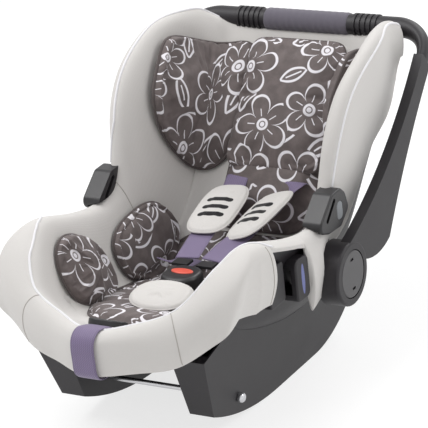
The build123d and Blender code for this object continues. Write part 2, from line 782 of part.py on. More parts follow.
with BuildPart() as buckle_button:
    red_bottom = buckle_top - red_button_pocket + red_button_travel + seat_gap
    with BuildSketch(Plane.XY.offset(red_bottom)):
        with Locations(red_button_at):
            Ellipse(red_button_size[0] / 2, red_button_size[1] / 2)
    extrude(amount=buckle_top + red_button_proud - red_bottom)
    fillet(buckle_button.faces().sort_by(Axis.Z)[-1].edges(), red_button_proud)
buckle_button.part.label = "buckle_button"
export_step(buckle_button.part, "parts/buckle_button.step")

with BuildPart() as crotch_strap:
    strap_rise = buckle_at[2] - buckle_size[2] / 4
    webbing(
        (0, crotch_slot_y), (0, buckle_front - strap_thick / 2),
        [
            (0, thigh.floor[1] - knee.wall),
            (0, strap_rise - 10),
            (buckle_front - strap_thick / 2 - crotch_slot_y, strap_rise),
        ],
        strap_bend,
    )
crotch_strap.part.label = "crotch_strap"
export_step(crotch_strap.part, "parts/crotch_strap.step")


def pillow(plane, width, length, thick, corner):
    """Lofts a small cushion: drawn in at its seat, full at the waist and crowned."""
    cuts = []
    for height, inset in ((0, 0.06), (0.35, 0), (0.75, 0.02), (1, 0.12)):
        with BuildSketch(plane.offset(height * thick)) as cut:
            draw_in = 2 * inset * length
            RectangleRounded(width - draw_in, length - draw_in, corner - draw_in / 2)
        cuts.append(cut.sketch)
    loft(cuts)


with BuildPart() as crotch_pad:
    tilt = radians(crotch_pad_tilt)
    pad_plane = Plane(origin=(0, *crotch_pad_at), x_dir=(1, 0, 0), z_dir=(0, sin(tilt), cos(tilt)))
    pillow(pad_plane, *crotch_pad_size, crotch_pad_size[1] * 0.45)
    with BuildSketch(pad_plane):
        with Locations((0, crotch_pad_size[1] / 2)):
            Rectangle(*crotch_pad_notch)
    extrude(amount=2 * crotch_pad_size[2], both=True, mode=Mode.SUBTRACT)
crotch_pad.part.label = "crotch_pad"
export_step(crotch_pad.part, "parts/crotch_pad.step")

strap_share = (slot_behind.Y - slot_front.Y) / (slot_behind.Y - tongue_at[1])
strap_top = Vector(slot_x + (tongue_at[0] - slot_x) * strap_share, slot_front.Y, slot_front.Z)
strap_dir = (Vector(*tongue_at) - strap_top).normalized()
strap_across = Vector(0, 0, 1).cross(strap_dir).normalized()
strap_up = strap_dir.cross(strap_across)
with BuildPart() as shoulder_pad:
    pad_origin = strap_top + strap_dir * shoulder_pad_along + strap_up * (strap_thick / 2 + seat_gap)
    pillow(Plane(origin=pad_origin, x_dir=strap_across, z_dir=strap_up), *shoulder_pad_size, shoulder_pad_corner)
export_pair(shoulder_pad.part, "shoulder_pad")

with BuildPart() as harness_yoke:
    yoke_plane = Plane(origin=slot_behind - back_out * yoke_gap, x_dir=(1, 0, 0), z_dir=back_out)
    with BuildSketch(yoke_plane):
        RectangleRounded(2 * slot_x + slot_width, yoke_height, yoke_corner)
        SlotOverall(strap_width + 2 * yoke_gap, yoke_slot, mode=Mode.SUBTRACT)
    extrude(amount=-yoke_thick)
harness_yoke.part.label = "harness_yoke"
export_step(harness_yoke.part, "parts/harness_yoke.step")

# Adjuster on the roll's inner slope: an oval housing and a lever that tips into it
slope_back, slope_crest = roll_cuts[0].back, roll_cuts[0].crest
slope = Vector(0, slope_crest[0] - slope_back[0], slope_crest[1] - slope_back[1]).normalized()
slope_up = Vector(-1, 0, 0).cross(slope)
adjuster_z = slope_back[1] + (adjuster_y - slope_back[0]) * slope.Z / slope.Y
adjuster_plane = Plane(origin=(0, adjuster_y, adjuster_z), x_dir=(1, 0, 0), z_dir=slope_up)
lever_pin_at = (0, lever_pin_inset - lever_size[1] / 2, seat_gap + adjuster_size[2] - lever_thick / 2)
lever_pin_half = lever_size[0] / 2 + lever_pin_reach
lever_pin_plane = Plane(origin=adjuster_plane.from_local_coords(lever_pin_at), x_dir=slope, z_dir=(1, 0, 0))
with BuildPart() as adjuster_housing:
    with BuildSketch(adjuster_plane.offset(seat_gap)):
        RectangleRounded(adjuster_size[0], adjuster_size[1], adjuster_size[1] * adjuster_round_share)
    extrude(amount=adjuster_size[2])
    fillet(adjuster_housing.faces().sort_by(Axis((0, 0, 0), slope_up))[-1].edges(), adjuster_edge)
    with BuildSketch(adjuster_plane.offset(seat_gap + adjuster_size[2] - lever_pocket)):
        RectangleRounded(lever_size[0] + 2 * button_gap, lever_size[1] + 2 * button_gap,
                         lever_corner + button_gap)
    extrude(amount=lever_pocket, mode=Mode.SUBTRACT)
    with BuildSketch(lever_pin_plane):
        Circle(lever_pin_radius + running_gap)
    extrude(amount=lever_pin_half + seat_gap, both=True, mode=Mode.SUBTRACT)
adjuster_housing.part.label = "adjuster_housing"
export_step(adjuster_housing.part, "parts/adjuster_housing.step")

with BuildPart() as adjuster_lever:
    with BuildSketch(adjuster_plane.offset(seat_gap + adjuster_size[2] - lever_thick)):
        RectangleRounded(*lever_size, lever_corner)
    extrude(amount=lever_thick)
    with BuildSketch(lever_pin_plane):
        Circle(lever_pin_radius)
    extrude(amount=lever_pin_half, both=True)
adjuster_lever.part.label = "adjuster_lever"
export_step(adjuster_lever.part, "parts/adjuster_lever.step")

with BuildPart() as adjuster_strap:
    front_cut = roll_cuts[0]
    lift = strap_thick / 2 + 2 * seat_gap
    start = Vector(0, adjuster_y, adjuster_z) + slope * (adjuster_size[1] / 2 + adjuster_strap_gap) + slope_up * lift
    brow_y = front_cut.hem[0] + brow_step - lift
    with BuildSketch(Plane.YZ):
        with BuildLine() as strap_route:
            FilletPolyline(
                (start.Y, start.Z),
                (front_cut.crest[0] - adjuster_strap_gap, front_cut.crest[1] + lift + adjuster_strap_gap),
                (brow_y, (front_cut.crest[1] + front_cut.hem[1]) / 2),
                (front_cut.hem[0] - lift, front_cut.hem[1] - adjuster_strap_tail),
                radius=[crest_radius + lift, crest_radius + lift],
            )
        trace(strap_route.line, line_width=strap_thick)
    extrude(amount=strap_width / 2, both=True)
adjuster_strap.part.label = "adjuster_strap"
export_step(adjuster_strap.part, "parts/adjuster_strap.step")

# Belt guide across the back of the shell
with BuildPart() as rear_belt_guide:
    guide_depth = temple.wall - shell_outer + 2 * seat_gap
    rear_plane = Plane(origin=Vector(0, *temple.floor) - back_out * guide_depth, x_dir=(1, 0, 0), z_dir=-back_out)
    with BuildSketch(rear_plane):
        RectangleRounded(*rear_guide_size, rear_guide_corner)
    extrude(amount=rear_guide_thick)
    fillet(rear_belt_guide.faces().sort_by(Axis((0, 0, 0), -back_out))[-1].edges(), rear_guide_edge)
    with BuildSketch(rear_plane):
        Rectangle(rear_guide_slot[0], rear_guide_size[1] + rear_guide_overcut)
    extrude(amount=rear_guide_slot[1], mode=Mode.SUBTRACT)
rear_belt_guide.part.label = "rear_belt_guide"
export_step(rear_belt_guide.part, "parts/rear_belt_guide.step")
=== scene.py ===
"""Infant car seat: a padded bucket on rocker runners with a swing handle and a buckled harness."""
import bpy
import bmesh
import numpy as np
from mathutils import Matrix, Vector


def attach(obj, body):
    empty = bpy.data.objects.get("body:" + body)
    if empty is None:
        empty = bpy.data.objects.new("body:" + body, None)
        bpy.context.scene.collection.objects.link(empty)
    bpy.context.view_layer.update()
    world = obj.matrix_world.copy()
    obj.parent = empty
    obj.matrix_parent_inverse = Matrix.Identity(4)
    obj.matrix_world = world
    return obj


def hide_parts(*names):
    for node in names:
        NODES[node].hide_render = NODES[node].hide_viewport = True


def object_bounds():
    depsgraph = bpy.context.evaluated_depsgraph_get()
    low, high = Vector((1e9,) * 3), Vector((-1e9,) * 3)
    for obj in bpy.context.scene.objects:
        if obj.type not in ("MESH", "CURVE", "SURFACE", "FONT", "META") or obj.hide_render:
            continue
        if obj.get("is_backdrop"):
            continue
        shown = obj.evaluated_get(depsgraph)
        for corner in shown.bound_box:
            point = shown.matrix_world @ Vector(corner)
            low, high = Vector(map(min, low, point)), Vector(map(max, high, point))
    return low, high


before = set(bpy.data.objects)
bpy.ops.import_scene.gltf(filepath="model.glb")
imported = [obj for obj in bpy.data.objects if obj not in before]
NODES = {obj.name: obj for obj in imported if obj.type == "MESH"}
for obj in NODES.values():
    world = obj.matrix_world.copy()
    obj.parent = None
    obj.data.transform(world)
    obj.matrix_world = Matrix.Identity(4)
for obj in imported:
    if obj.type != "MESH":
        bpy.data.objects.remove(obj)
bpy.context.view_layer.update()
MM = 0.001
SIDES = ((1, "right"), (-1, "left"))


# Curves and surfaces as arrays

def natural_weights(knots, samples):
    """Weights of a natural cubic spline, which turn values at its knots into values at the samples."""
    gaps = np.diff(knots)
    count = len(knots)
    middle = np.arange(1, count - 1)
    bend, pull = np.eye(count), np.zeros((count, count))
    bend[middle, middle - 1], bend[middle, middle + 1] = gaps[:-1], gaps[1:]
    bend[middle, middle] = 2 * (gaps[:-1] + gaps[1:])
    pull[middle, middle - 1], pull[middle, middle + 1] = 6 / gaps[:-1], 6 / gaps[1:]
    pull[middle, middle] = -6 / gaps[:-1] - 6 / gaps[1:]
    curvature = np.linalg.solve(bend, pull)
    span = np.clip(np.searchsorted(knots, samples, "right") - 1, 0, count - 2)
    gap = gaps[span][:, None]
    right = (np.asarray(samples) - knots[span])[:, None] / gap
    left = 1 - right
    unit = np.eye(count)
    lines = left * unit[span] + right * unit[span + 1]
    bows = (left ** 3 - left) * curvature[span] + (right ** 3 - right) * curvature[span + 1]
    return lines + bows * gap ** 2 / 6


def soft_weights(count, samples):
    """Weights of a clamped cubic B-spline on evenly spaced knots; a sample runs from 0 to count - 1."""
    knots = np.concatenate([np.zeros(3), np.linspace(0, 1, count - 2), np.ones(3)])
    place = np.clip(np.asarray(samples, float) / (count - 1), 0, 1 - 1e-9)[:, None]
    basis = ((knots[:-1] <= place) & (place < knots[1:])).astype(float)
    for degree in (1, 2, 3):
        rise, fall = knots[degree:-1] - knots[:-degree - 1], knots[degree + 1:] - knots[1:-degree]
        up = (place - knots[:-degree - 1]) / np.where(rise > 0, rise, 1) * (rise > 0)
        down = (knots[degree + 1:] - place) / np.where(fall > 0, fall, 1) * (fall > 0)
        basis = up * basis[:, :-1] + down * basis[:, 1:]
    return basis


def chord(points):
    """Running straight-line length along a row of points."""
    return np.concatenate([[0], np.cumsum(np.linalg.norm(np.diff(points, axis=0), axis=1))])


def smooth_path(points, count, values=None):
    """A natural cubic spline through points, or values at them, sampled evenly along its chords."""
    points = np.asarray(points, float)
    along = chord(points)
    weights = natural_weights(along, np.linspace(0, along[-1], count))
    return weights @ (points if values is None else values)


def unit(vectors):
    return vectors / np.linalg.norm(vectors, axis=-1, keepdims=True)


# Meshes

def place_mesh(name, points, faces, uv=None, smooth=True):
    """Makes an object of points in millimetres; uv, in metres, is given per point."""
    mesh = bpy.data.meshes.new(name)
    mesh.from_pydata((np.asarray(points) * MM).tolist(), [], faces.tolist())
    if uv is not None:
        corner = np.empty(len(mesh.loops), np.int32)
        mesh.loops.foreach_get("vertex_index", corner)
        layer = mesh.uv_layers.new(name="cloth")
        layer.data.foreach_set("uv", np.asarray(uv)[corner].astype(np.float32).ravel())
    work = bmesh.new()
    work.from_mesh(mesh)
    bmesh.ops.remove_doubles(work, verts=work.verts, dist=2e-6)
    bmesh.ops.dissolve_degenerate(work, edges=work.edges, dist=1e-7)
    bmesh.ops.recalc_face_normals(work, faces=work.faces)
    for face in work.faces:
        face.smooth = smooth
    work.to_mesh(mesh)
    work.free()
    made = bpy.data.objects.new(name, mesh)
    bpy.context.scene.collection.objects.link(made)
    return made


def grid_faces(rows, cols, wrap_rows=False, wrap_cols=False):
    """Quads between neighbours of a rows by cols grid, joined round either way where it wraps."""
    r = np.arange(rows if wrap_rows else rows - 1)[:, None]
    c = np.arange(cols if wrap_cols else cols - 1)[None, :]
    r2, c2 = (r + 1) % rows, (c + 1) % cols
    quads = np.stack(np.broadcast_arrays(r * cols + c, r2 * cols + c, r2 * cols + c2, r * cols + c2), -1)
    return quads.reshape(-1, 4)


def grid_object(name, grid, uv=None, wrap_rows=False, wrap_cols=False):
    rows, cols = grid.shape[:2]
    faces = grid_faces(rows, cols, wrap_rows, wrap_cols)
    return place_mesh(name, grid.reshape(-1, 3), faces, None if uv is None else uv.reshape(-1, 2))


def paint(made, material):
    """Makes a material the only one of an object."""
    made.data.materials.clear()
    made.data.materials.append(material)


def finish_piece(made, body, material, nodes=()):
    """Gives a piece its material and its body, and hides the solids that it stands for."""
    paint(made, material)
    if nodes:
        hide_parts(*nodes)
    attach(made, body)
    return made


def tube(name, path, radius, sides=10, closed=False):
    """A round bead along a path: path + radius (cos a * side + sin a * lift), with closed ends."""
    path = np.asarray(path, float)
    ahead = np.roll(path, -1, 0) - np.roll(path, 1, 0) if closed else np.gradient(path, axis=0)
    ahead = unit(ahead)
    upright = np.array([0.13, 0.21, 1.0])
    side = unit(np.cross(ahead, upright))
    lift = np.cross(side, ahead)
    turn = np.linspace(0, 2 * np.pi, sides, endpoint=False)
    ring = np.cos(turn)[None, :, None] * side[:, None] + np.sin(turn)[None, :, None] * lift[:, None]
    grid = path[:, None] + radius * ring
    if not closed:
        ends = np.repeat(path[[0, -1], None], sides, 1)
        grid = np.concatenate([ends[:1], grid, ends[1:]])
    return grid_object(name, grid, wrap_rows=closed, wrap_cols=True)


# Finishes

class Wire:
    """A node's output in an expression; an operator adds its Math node."""

    def __init__(self, finish, socket):
        self.finish, self.socket = finish, socket

    def math(self, operation, *others):
        inputs = {f"i{number}": value for number, value in enumerate((self, *others))}
        return self.finish.node("Math", {"operation": operation}, **inputs)

    def __add__(self, other): return self.math("ADD", other)
    def __sub__(self, other): return self.math("SUBTRACT", other)
    def __mul__(self, other): return self.math("MULTIPLY", other)
    def __truediv__(self, other): return self.math("DIVIDE", other)
    def __pow__(self, other): return self.math("POWER", other)
    def __abs__(self): return self.math("ABSOLUTE")
    __radd__, __rmul__ = __add__, __mul__

    def __rsub__(self, other):
        return self.finish.node("Math", {"operation": "SUBTRACT"}, i0=other, i1=self)

    def fade(self, start, end):
        """1 below start and 0 above end, smooth between."""
        return self.finish.node("MapRange", {"interpolation_type": "SMOOTHSTEP"}, Value=self,
                                From_Min=start, From_Max=end, To_Min=1.0, To_Max=0.0)


class Finish:
    """One procedural material: a Principled shader with constants on sockets and nodes on the rest."""

    def __init__(self, name, **constants):
        self.material = bpy.data.materials.new(name)
        self.material.use_nodes = True
        self.tree = self.material.node_tree
        self.shader = self.tree.nodes["Principled BSDF"]
        for key, value in constants.items():
            self.shader.inputs[key.replace("_", " ")].default_value = value

    def node(self, kind, settings=None, out=0, **inputs):
        """Adds a node: its settings first, then values or wires on its sockets, by name or as i0, i1."""
        made = self.tree.nodes.new("ShaderNode" + kind)
        for key, value in (settings or {}).items():
            setattr(made, key, value)
        for key, value in inputs.items():
            by_number = key[0] == "i" and key[1:].isdigit()
            socket = made.inputs[int(key[1:]) if by_number else key.replace("_", " ")]
            if isinstance(value, Wire):
                self.tree.links.new(value.socket, socket)
            else:
                socket.default_value = value
        return Wire(self, made.outputs[out])

    def feed(self, **inputs):
        for key, wire in inputs.items():
            self.tree.links.new(wire.socket, self.shader.inputs[key.replace("_", " ")])

    def place(self):
        return self.node("TexCoord", out=3)

    def cloth(self):
        return self.node("UVMap", {"uv_map": "cloth"})

    def mix(self, share, first, second):
        return self.node("Mix", {"data_type": "RGBA"}, out=2, i0=share, i6=first, i7=second)

    def noise(self, scale, where=None, detail=3.0):
        return self.node("TexNoise", Vector=where or self.place(), Scale=scale, Detail=detail)

    def wave(self, direction, where, scale, distortion):
        return self.node("TexWave", {"bands_direction": direction}, out=1,
                         Vector=where, Scale=scale, Distortion=distortion)

    def split(self, vector):
        """The first two parts of a vector."""
        return (self.node("SeparateXYZ", out=part, Vector=vector) for part in (0, 1))

    def bump(self, height, strength, distance):
        return self.node("Bump", Height=height, Strength=strength, Distance=distance)


def colour(red, green, blue):
    """An eight-bit screen colour as scene-linear."""
    screen = np.array([red, green, blue]) / 255
    linear = np.where(screen <= 0.04045, screen / 12.92, ((screen + 0.055) / 1.055) ** 2.4)
    return (*linear.tolist(), 1.0)


def shade(tone, share):
    return (*[part * share for part in tone[:3]], 1.0)


def moulded_plastic(name, tone, roughness, grain=1100.0, coat=0.0):
    """Moulded plastic: fine spark grain in the bump, soft patches in the gloss and a dusty tone."""
    made = Finish(name, Specular_IOR_Level=0.45, Coat_Weight=coat, Coat_Roughness=0.2)
    patches = made.noise(18.0)
    fine = made.noise(grain, detail=2.0)
    made.feed(Base_Color=made.mix(patches.fade(0.35, 0.65), shade(tone, 1.12), shade(tone, 0.9)),
              Roughness=patches * 0.12 + (roughness - 0.06),
              Normal=made.bump(fine, 0.25, 0.0004))
    return made.material


def knit_cloth(name, tone, weave=1500.0):
    """Brushed knit over foam: crossed fine threads in bump and tone, soft patches, a little sheen."""
    made = Finish(name, Roughness=0.9, Sheen_Weight=0.25, Sheen_Roughness=0.5, Specular_IOR_Level=0.2)
    where = made.place()
    warp = made.wave("DIAGONAL", where, weave / 6, 1.5)
    weft = made.wave("X", where, weave / 7, 1.5)
    threads = warp * 0.5 + weft * 0.5
    patches = made.noise(9.0)
    mottle = made.noise(weave / 4, detail=2.0)
    share = patches * 0.5 + mottle * 0.3 + threads * 0.2
    made.feed(Base_Color=made.mix(share, shade(tone, 0.93), shade(tone, 1.06)),
              Normal=made.bump(threads * 0.6 + mottle * 0.4, 0.25, 0.0006))
    return made.material


def petal_print(name, ground, ink):
    """Printed satin weave: outlined five-petal blossoms with veined petals, and leaves between them.

    A blossom's edge is r = R (0.34 + 0.66 |cos 2.5 a| ^ 0.55) round its cell's own point.
    A leaf's edge is |y| = A (1 - (x / L)^2) in a frame turned by its cell.
    """
    made = Finish(name, Roughness=0.72, Sheen_Weight=0.2, Sheen_Roughness=0.4, Specular_IOR_Level=0.3)
    where = made.cloth()
    line = 0.0017
    half_petals = 2.5

    def cell(scale, shift):
        moved = made.node("VectorMath", {"operation": "ADD"}, i0=where, i1=(shift, shift * 0.7, 0.0))
        flat, cells = {"voronoi_dimensions": "2D"}, {"Vector": moved, "Scale": scale, "Randomness": 0.55}
        middle = made.node("TexVoronoi", flat, out=2, **cells)
        chance = made.node("TexVoronoi", flat, out=1, **cells)
        offset = made.node("VectorMath", {"operation": "SUBTRACT"}, i0=moved, i1=middle)
        across, along = made.split(offset)
        turn = made.node("SeparateColor", out=0, Color=chance) * (2 * np.pi)
        size = made.node("SeparateColor", out=1, Color=chance)
        return across, along, turn, size

    def stroke(distance, width):
        return abs(distance).fade(width, width * 1.7)

    x, y, turn, size = cell(10.2, 0.31)
    radius = (x * x + y * y) ** 0.5
    angle = y.math("ARCTAN2", x) + turn
    reach = size * 0.010 + 0.041
    lobes = abs((angle * half_petals).math("COSINE"))
    edge = reach * (lobes ** 0.55 * 0.66 + 0.34)
    blossom = stroke(radius - edge, line)
    vein_part = radius.fade(0.025, 0.026) * (1 - radius.fade(0.0125, 0.0135))
    vein = stroke((angle * half_petals).math("SINE") * radius, line * 0.8) * vein_part
    eye = stroke(radius - 0.0075, line * 0.9)
    seed = radius.fade(0.0034, 0.0042)

    u, v, lean, span = cell(14.6, 0.77)
    tilt_c, tilt_s = lean.math("COSINE"), lean.math("SINE")
    length, width = u * tilt_c + v * tilt_s, v * tilt_c - u * tilt_s
    half = span * 0.009 + 0.023
    rib = 1 - (length / half) ** 2.0
    inside = abs(length).fade(half, half + 0.0006)
    leaf = stroke(abs(width) - rib * 0.0098, line * 0.9) * inside
    leaf_vein = stroke(width, line * 0.55) * abs(length).fade(0.013, 0.014)
    clear = 1 - (radius - reach).fade(0.0015, 0.0025)
    ink_share = blossom.math("MAXIMUM", vein).math("MAXIMUM", eye).math("MAXIMUM", seed)
    ink_share = ink_share.math("MAXIMUM", leaf.math("MAXIMUM", leaf_vein) * clear)
    threads = made.wave("DIAGONAL", where, 420.0, 0.6)
    worn = made.noise(60.0)
    cloth_tone = made.mix(worn.fade(0.35, 0.7), shade(ground, 1.15), shade(ground, 0.88))
    made.feed(Base_Color=made.mix(ink_share, cloth_tone, ink), Roughness=ink_share * 0.1 + 0.68,
              Normal=made.bump(threads * 0.35 + ink_share * 0.65, 0.3, 0.0005))
    return made.material


def belt_webbing(name, tone):
    """Harness webbing on its own map: slanted twill ribs across it, a denser line along each edge."""
    made = Finish(name, Roughness=0.6, Sheen_Weight=0.2, Specular_IOR_Level=0.4)
    where = made.cloth()
    twill = made.wave("DIAGONAL", where, 190.0, 0.2)
    rows = made.wave("Y", where, 95.0, 0.0)
    _, across = made.split(where)
    edge = 1 - abs(across).fade(0.0155, 0.0165)
    worn = made.noise(40.0)
    share = twill * 0.45 + rows * 0.25 + worn * 0.3
    made.feed(Base_Color=made.mix(share - edge * 0.25, shade(tone, 0.72), shade(tone, 1.25)),
              Normal=made.bump(twill * 0.6 + rows * 0.4, 0.4, 0.0007))
    return made.material


def slotted_knit(name, tone, slots):
    """Pale knit with dark slots, each a capsule in the pad's map: centre, half length, half height."""
    made = Finish(name, Roughness=0.88, Sheen_Weight=0.2, Specular_IOR_Level=0.2)
    across, along = made.split(made.cloth())
    dark = None
    for centre, half_length, half_height in slots:
        beyond = (abs(across) - half_length).math("MAXIMUM", 0.0)
        rise = along - centre
        near = (beyond * beyond + rise * rise) ** 0.5
        one = near.fade(half_height, half_height + 0.0008)
        dark = one if dark is None else dark.math("MAXIMUM", one)
    mottle = made.noise(420.0, detail=2.0)
    ground = made.mix(mottle, shade(tone, 0.94), shade(tone, 1.05))
    made.feed(Base_Color=made.mix(dark, ground, colour(28, 27, 29)),
              Normal=made.bump(mottle * 0.25 - dark, 0.5, 0.0012))
    return made.material


def bright_steel(name):
    """Drawn steel: fine streaks along the bar in gloss and bump."""
    made = Finish(name, Metallic=1.0, Base_Color=colour(205, 205, 208))
    where = made.node("Mapping", Vector=made.place(), Scale=(30.0, 900.0, 900.0))
    streaks = made.node("TexNoise", Vector=where, Scale=1.0, Detail=2.0)
    made.feed(Roughness=streaks * 0.2 + 0.16, Normal=made.bump(streaks, 0.08, 0.0003))
    return made.material


PALE = colour(213, 210, 207)
GROUND = colour(104, 95, 94)
plastic = moulded_plastic("dark_moulded_plastic", colour(31, 28, 32), 0.48)
black = moulded_plastic("black_moulded_plastic", colour(36, 35, 37), 0.36)
cap_plastic = moulded_plastic("hub_cap_plastic", colour(48, 46, 49), 0.3, coat=0.15)
grey = moulded_plastic("grey_button_plastic", colour(120, 124, 128), 0.42)
blue = moulded_plastic("blue_guide_plastic", colour(104, 110, 160), 0.45)
red = moulded_plastic("red_button_plastic", colour(226, 92, 74), 0.32, coat=0.2)
foam = moulded_plastic("white_foam", colour(235, 235, 233), 0.8, grain=250.0)
steel = bright_steel("bright_steel")
knit = knit_cloth("pale_knit", PALE)
lining = knit_cloth("pale_lining", shade(PALE, 0.94), 1900.0)
bead_cloth = knit_cloth("white_piping", colour(238, 237, 240), 2400.0)
seam_thread = knit_cloth("seam_thread", colour(176, 171, 166), 2600.0)
sleeve_cloth = knit_cloth("dark_sleeve_cloth", colour(106, 102, 112), 1300.0)
print_cloth = petal_print("petal_print", GROUND, colour(236, 233, 238))
print_edge = knit_cloth("print_edge_cloth", shade(GROUND, 0.75), 1800.0)
webbing = belt_webbing("lavender_webbing", colour(122, 109, 140))

for node_name, material in {
    "bucket_shell": plastic, "foam_liner": foam, "cross_rod": steel, "rod_nuts": steel,
    "handle_bar": plastic, "buckle_body": black, "buckle_button": red, "adjuster_housing": black,
    "adjuster_lever": black, "harness_yoke": steel, "rear_belt_guide": blue,
}.items():
    paint(NODES[node_name], material)
for stem, material in {
    "rocker": plastic, "pivot_boss": plastic, "handle_arm": plastic, "handle_button": cap_plastic,
    "belt_guide": black, "guide_button": grey, "belt_hook": plastic, "belt_mark": blue,
    "side_panel": plastic, "buckle_tongue": black,
}.items():
    for _, word in SIDES:
        paint(NODES[f"{stem}_{word}"], material)


# The bucket: cross sections from head to feet

SECTIONS = ("ear", "crown", "temple", "shoulder", "chest", "elbow",
            "hip", "thigh", "knee", "shin", "corner")
# Per section: floor y z, rim y z, half width at the rim and at the foot, wall, bend at the foot, skirt
SECTION = np.array([
    (332, 404, 271, 458, 178, 150, 20, 45, 40),
    (304, 367, 209, 459, 195, 160, 23, 60, 105),
    (271, 324, 154, 445, 201, 165, 25, 70, 135),
    (227, 268, 91, 412, 200, 162, 27, 75, 145),
    (176, 204, 47, 348, 195, 158, 27, 75, 140),
    (119, 150, 31, 292, 192, 152, 27, 70, 120),
    (44, 120, 6, 250, 193, 148, 27, 60, 70),
    (-56, 119, -75, 252, 196, 145, 27, 60, 60),
    (-136, 135, -148, 274, 195, 140, 29, 60, 60),
    (-211, 154, -203, 286, 193, 134, 32, 60, 70),
    (-280, 178, -262, 258, 181, 130, 32, 45, 70),
], float)
FLOOR_RUN = chord(SECTION[:, :2])


def section_at(run):
    """Section values at distances along the floor's middle line, measured from the head end."""
    return natural_weights(FLOOR_RUN, np.ravel(run)) @ SECTION


def run_of(name):
    return FLOOR_RUN[SECTIONS.index(name)]


def leaning_wall(section):
    """Depth of the U, lean of its wall and half width of the lining's foot, from section values."""
    floor_y, floor_z, rim_y, rim_z, rim_x, foot_x, wall = section.T[:7]
    depth = np.hypot(rim_y - floor_y, rim_z - floor_z)
    lean = np.arctan2(rim_x - foot_x, depth + wall)
    return depth, lean, foot_x + wall * (np.sin(lean) - 1) / np.cos(lean)


def lining_point(run, across, height):
    """A point over the lining: run along the floor line, across round the U by arc length, height above.

    The U is a flat floor, an arc of radius bend - wall and the leaning wall; across is below 0 on the left.
    """
    run, across, height = np.broadcast_arrays(np.asarray(run, float), across, height)
    shape = run.shape
    run, across, height = run.ravel(), across.ravel(), height.ravel()
    section = section_at(run)
    floor_y, floor_z, rim_y, rim_z, _, _, wall, bend, _ = section.T
    depth, lean, foot = leaning_wall(section)
    radius = bend - wall
    turn = np.pi / 2 - lean
    flat = foot - radius * np.tan(turn / 2)
    q, side = np.abs(across), np.sign(across)
    angle = np.clip((q - flat) / radius, 0, turn)
    past = np.clip(q - flat - radius * turn, 0, None)
    x = np.minimum(q, flat) + radius * np.sin(angle) + past * np.sin(lean)
    t = radius * (1 - np.cos(angle)) + past * np.cos(lean)
    x, t = x - height * np.sin(angle), t + height * np.cos(angle)
    y, z = floor_y + t * (rim_y - floor_y) / depth, floor_z + t * (rim_z - floor_z) / depth
    return np.stack([side * x, y, z], -1).reshape(*shape, 3)


# Cover: one padded border round the whole opening, lining inside, skirt outside

# Millimetres by which the padded rim lies flatter over the leg walls, and each control point's share
SINK = {"thigh": 7, "knee": 8, "shin": 7}
SINK_SHARE = np.array([0, 0.4, 0.7, 1.3, 0.8, 0.9, 1, 1])
# Millimetres by which it is drawn in under the belt guides, clear of their buttons
TUCK = {"elbow": 4, "hip": 4}


def wall_profile(name):
    """Ten control points of the border at a section: up the inner wall, over the rim, down the skirt."""
    section = SECTION[SECTIONS.index(name)]
    floor_y, floor_z, rim_y, rim_z, rim_x, _, wall, _, skirt = section
    depth, lean, foot = leaning_wall(section)
    down = np.array([0.62 * depth, 0.3 * depth, 5, -9, 0, 0.25 * skirt, 0.65 * skirt, skirt])
    down += SINK.get(name, 0) * SINK_SHARE
    inset = np.array([wall, wall + 3, wall + 2, 0.5 * wall, -3, -2, -1, 0])
    inset[4:] += TUCK.get(name, 0)
    x = rim_x - inset * np.cos(lean) - down * np.sin(lean)
    t = depth + inset * np.sin(lean) - down * np.cos(lean)
    x, t = np.concatenate([[foot - 30, foot + 4], x]), np.concatenate([[0, 1], t])
    y, z = floor_y + t * (rim_y - floor_y) / depth, floor_z + t * (rim_z - floor_z) / depth
    return np.stack([x, y, z], -1)


# Control points from the lining to the hem, at the head end from its middle to the ear
HEAD_END = np.array([
    [(0, 291, 350), (0, 303, 366), (0, 317, 384), (0, 327, 397), (0, 333, 409),
     (0, 341, 415), (0, 349, 409), (0, 351, 398), (0, 341, 380), (0, 327, 360)],
    [(90, 291, 350), (97, 303, 367), (103, 317, 386), (107, 327, 401), (110, 332, 413),
     (114, 340, 419), (117, 348, 413), (118, 350, 402), (116, 341, 384), (113, 329, 365)],
    [(108, 290, 349), (120, 299, 366), (130, 311, 388), (137, 320, 408), (142, 325, 423),
     (150, 332, 431), (158, 338, 426), (161, 340, 416), (159, 336, 398), (154, 328, 382)],
    [(114, 288, 347), (128, 294, 366), (138, 300, 392), (146, 303, 420), (154, 303, 440),
     (165, 307, 451), (174, 312, 445), (177, 315, 434), (176, 320, 412), (172, 321, 396)],
    [(118, 285, 343), (131, 290, 357), (141, 289, 382), (148, 281, 424), (157, 273, 450),
     (168, 271, 464), (178, 271, 459), (181, 275, 446), (180, 292, 420), (177, 302, 404)],
], float)
CROWN = wall_profile("crown")
CROWN[:2] = [(118, 281, 336), (133, 285, 346)]
# The same round the front roll, from the corner to its middle
FRONT = np.array([
    [(90, -222, 158), (114, -222, 163), (126, -226, 194), (136, -229, 241), (147, -235, 277),
     (174, -243, 285), (197, -254, 272), (199, -266, 250), (195, -278, 226), (187, -284, 206)],
    [(84, -230, 161), (106, -241, 169), (115, -249, 194), (125, -255, 229), (134, -260, 258),
     (153, -274, 267), (172, -298, 250), (175, -304, 229), (172, -305, 204), (163, -302, 183)],
    [(72, -234, 163), (90, -256, 170), (99, -266, 184), (107, -278, 208), (112, -290, 226),
     (120, -304, 235), (129, -321, 222), (131, -326, 203), (129, -326, 178), (122, -320, 155)],
    [(45, -236, 164), (54, -264, 170), (57, -279, 178), (60, -302, 194), (61, -317, 209),
     (63, -330, 212), (66, -345, 203), (67, -348, 189), (66, -347, 165), (64, -341, 144)],
    [(0, -237, 164), (0, -266, 171), (0, -284, 178), (0, -316, 189), (0, -338, 200),
     (0, -354, 206), (0, -368, 198), (0, -369, 187), (0, -369, 165), (0, -366, 142)],
], float)

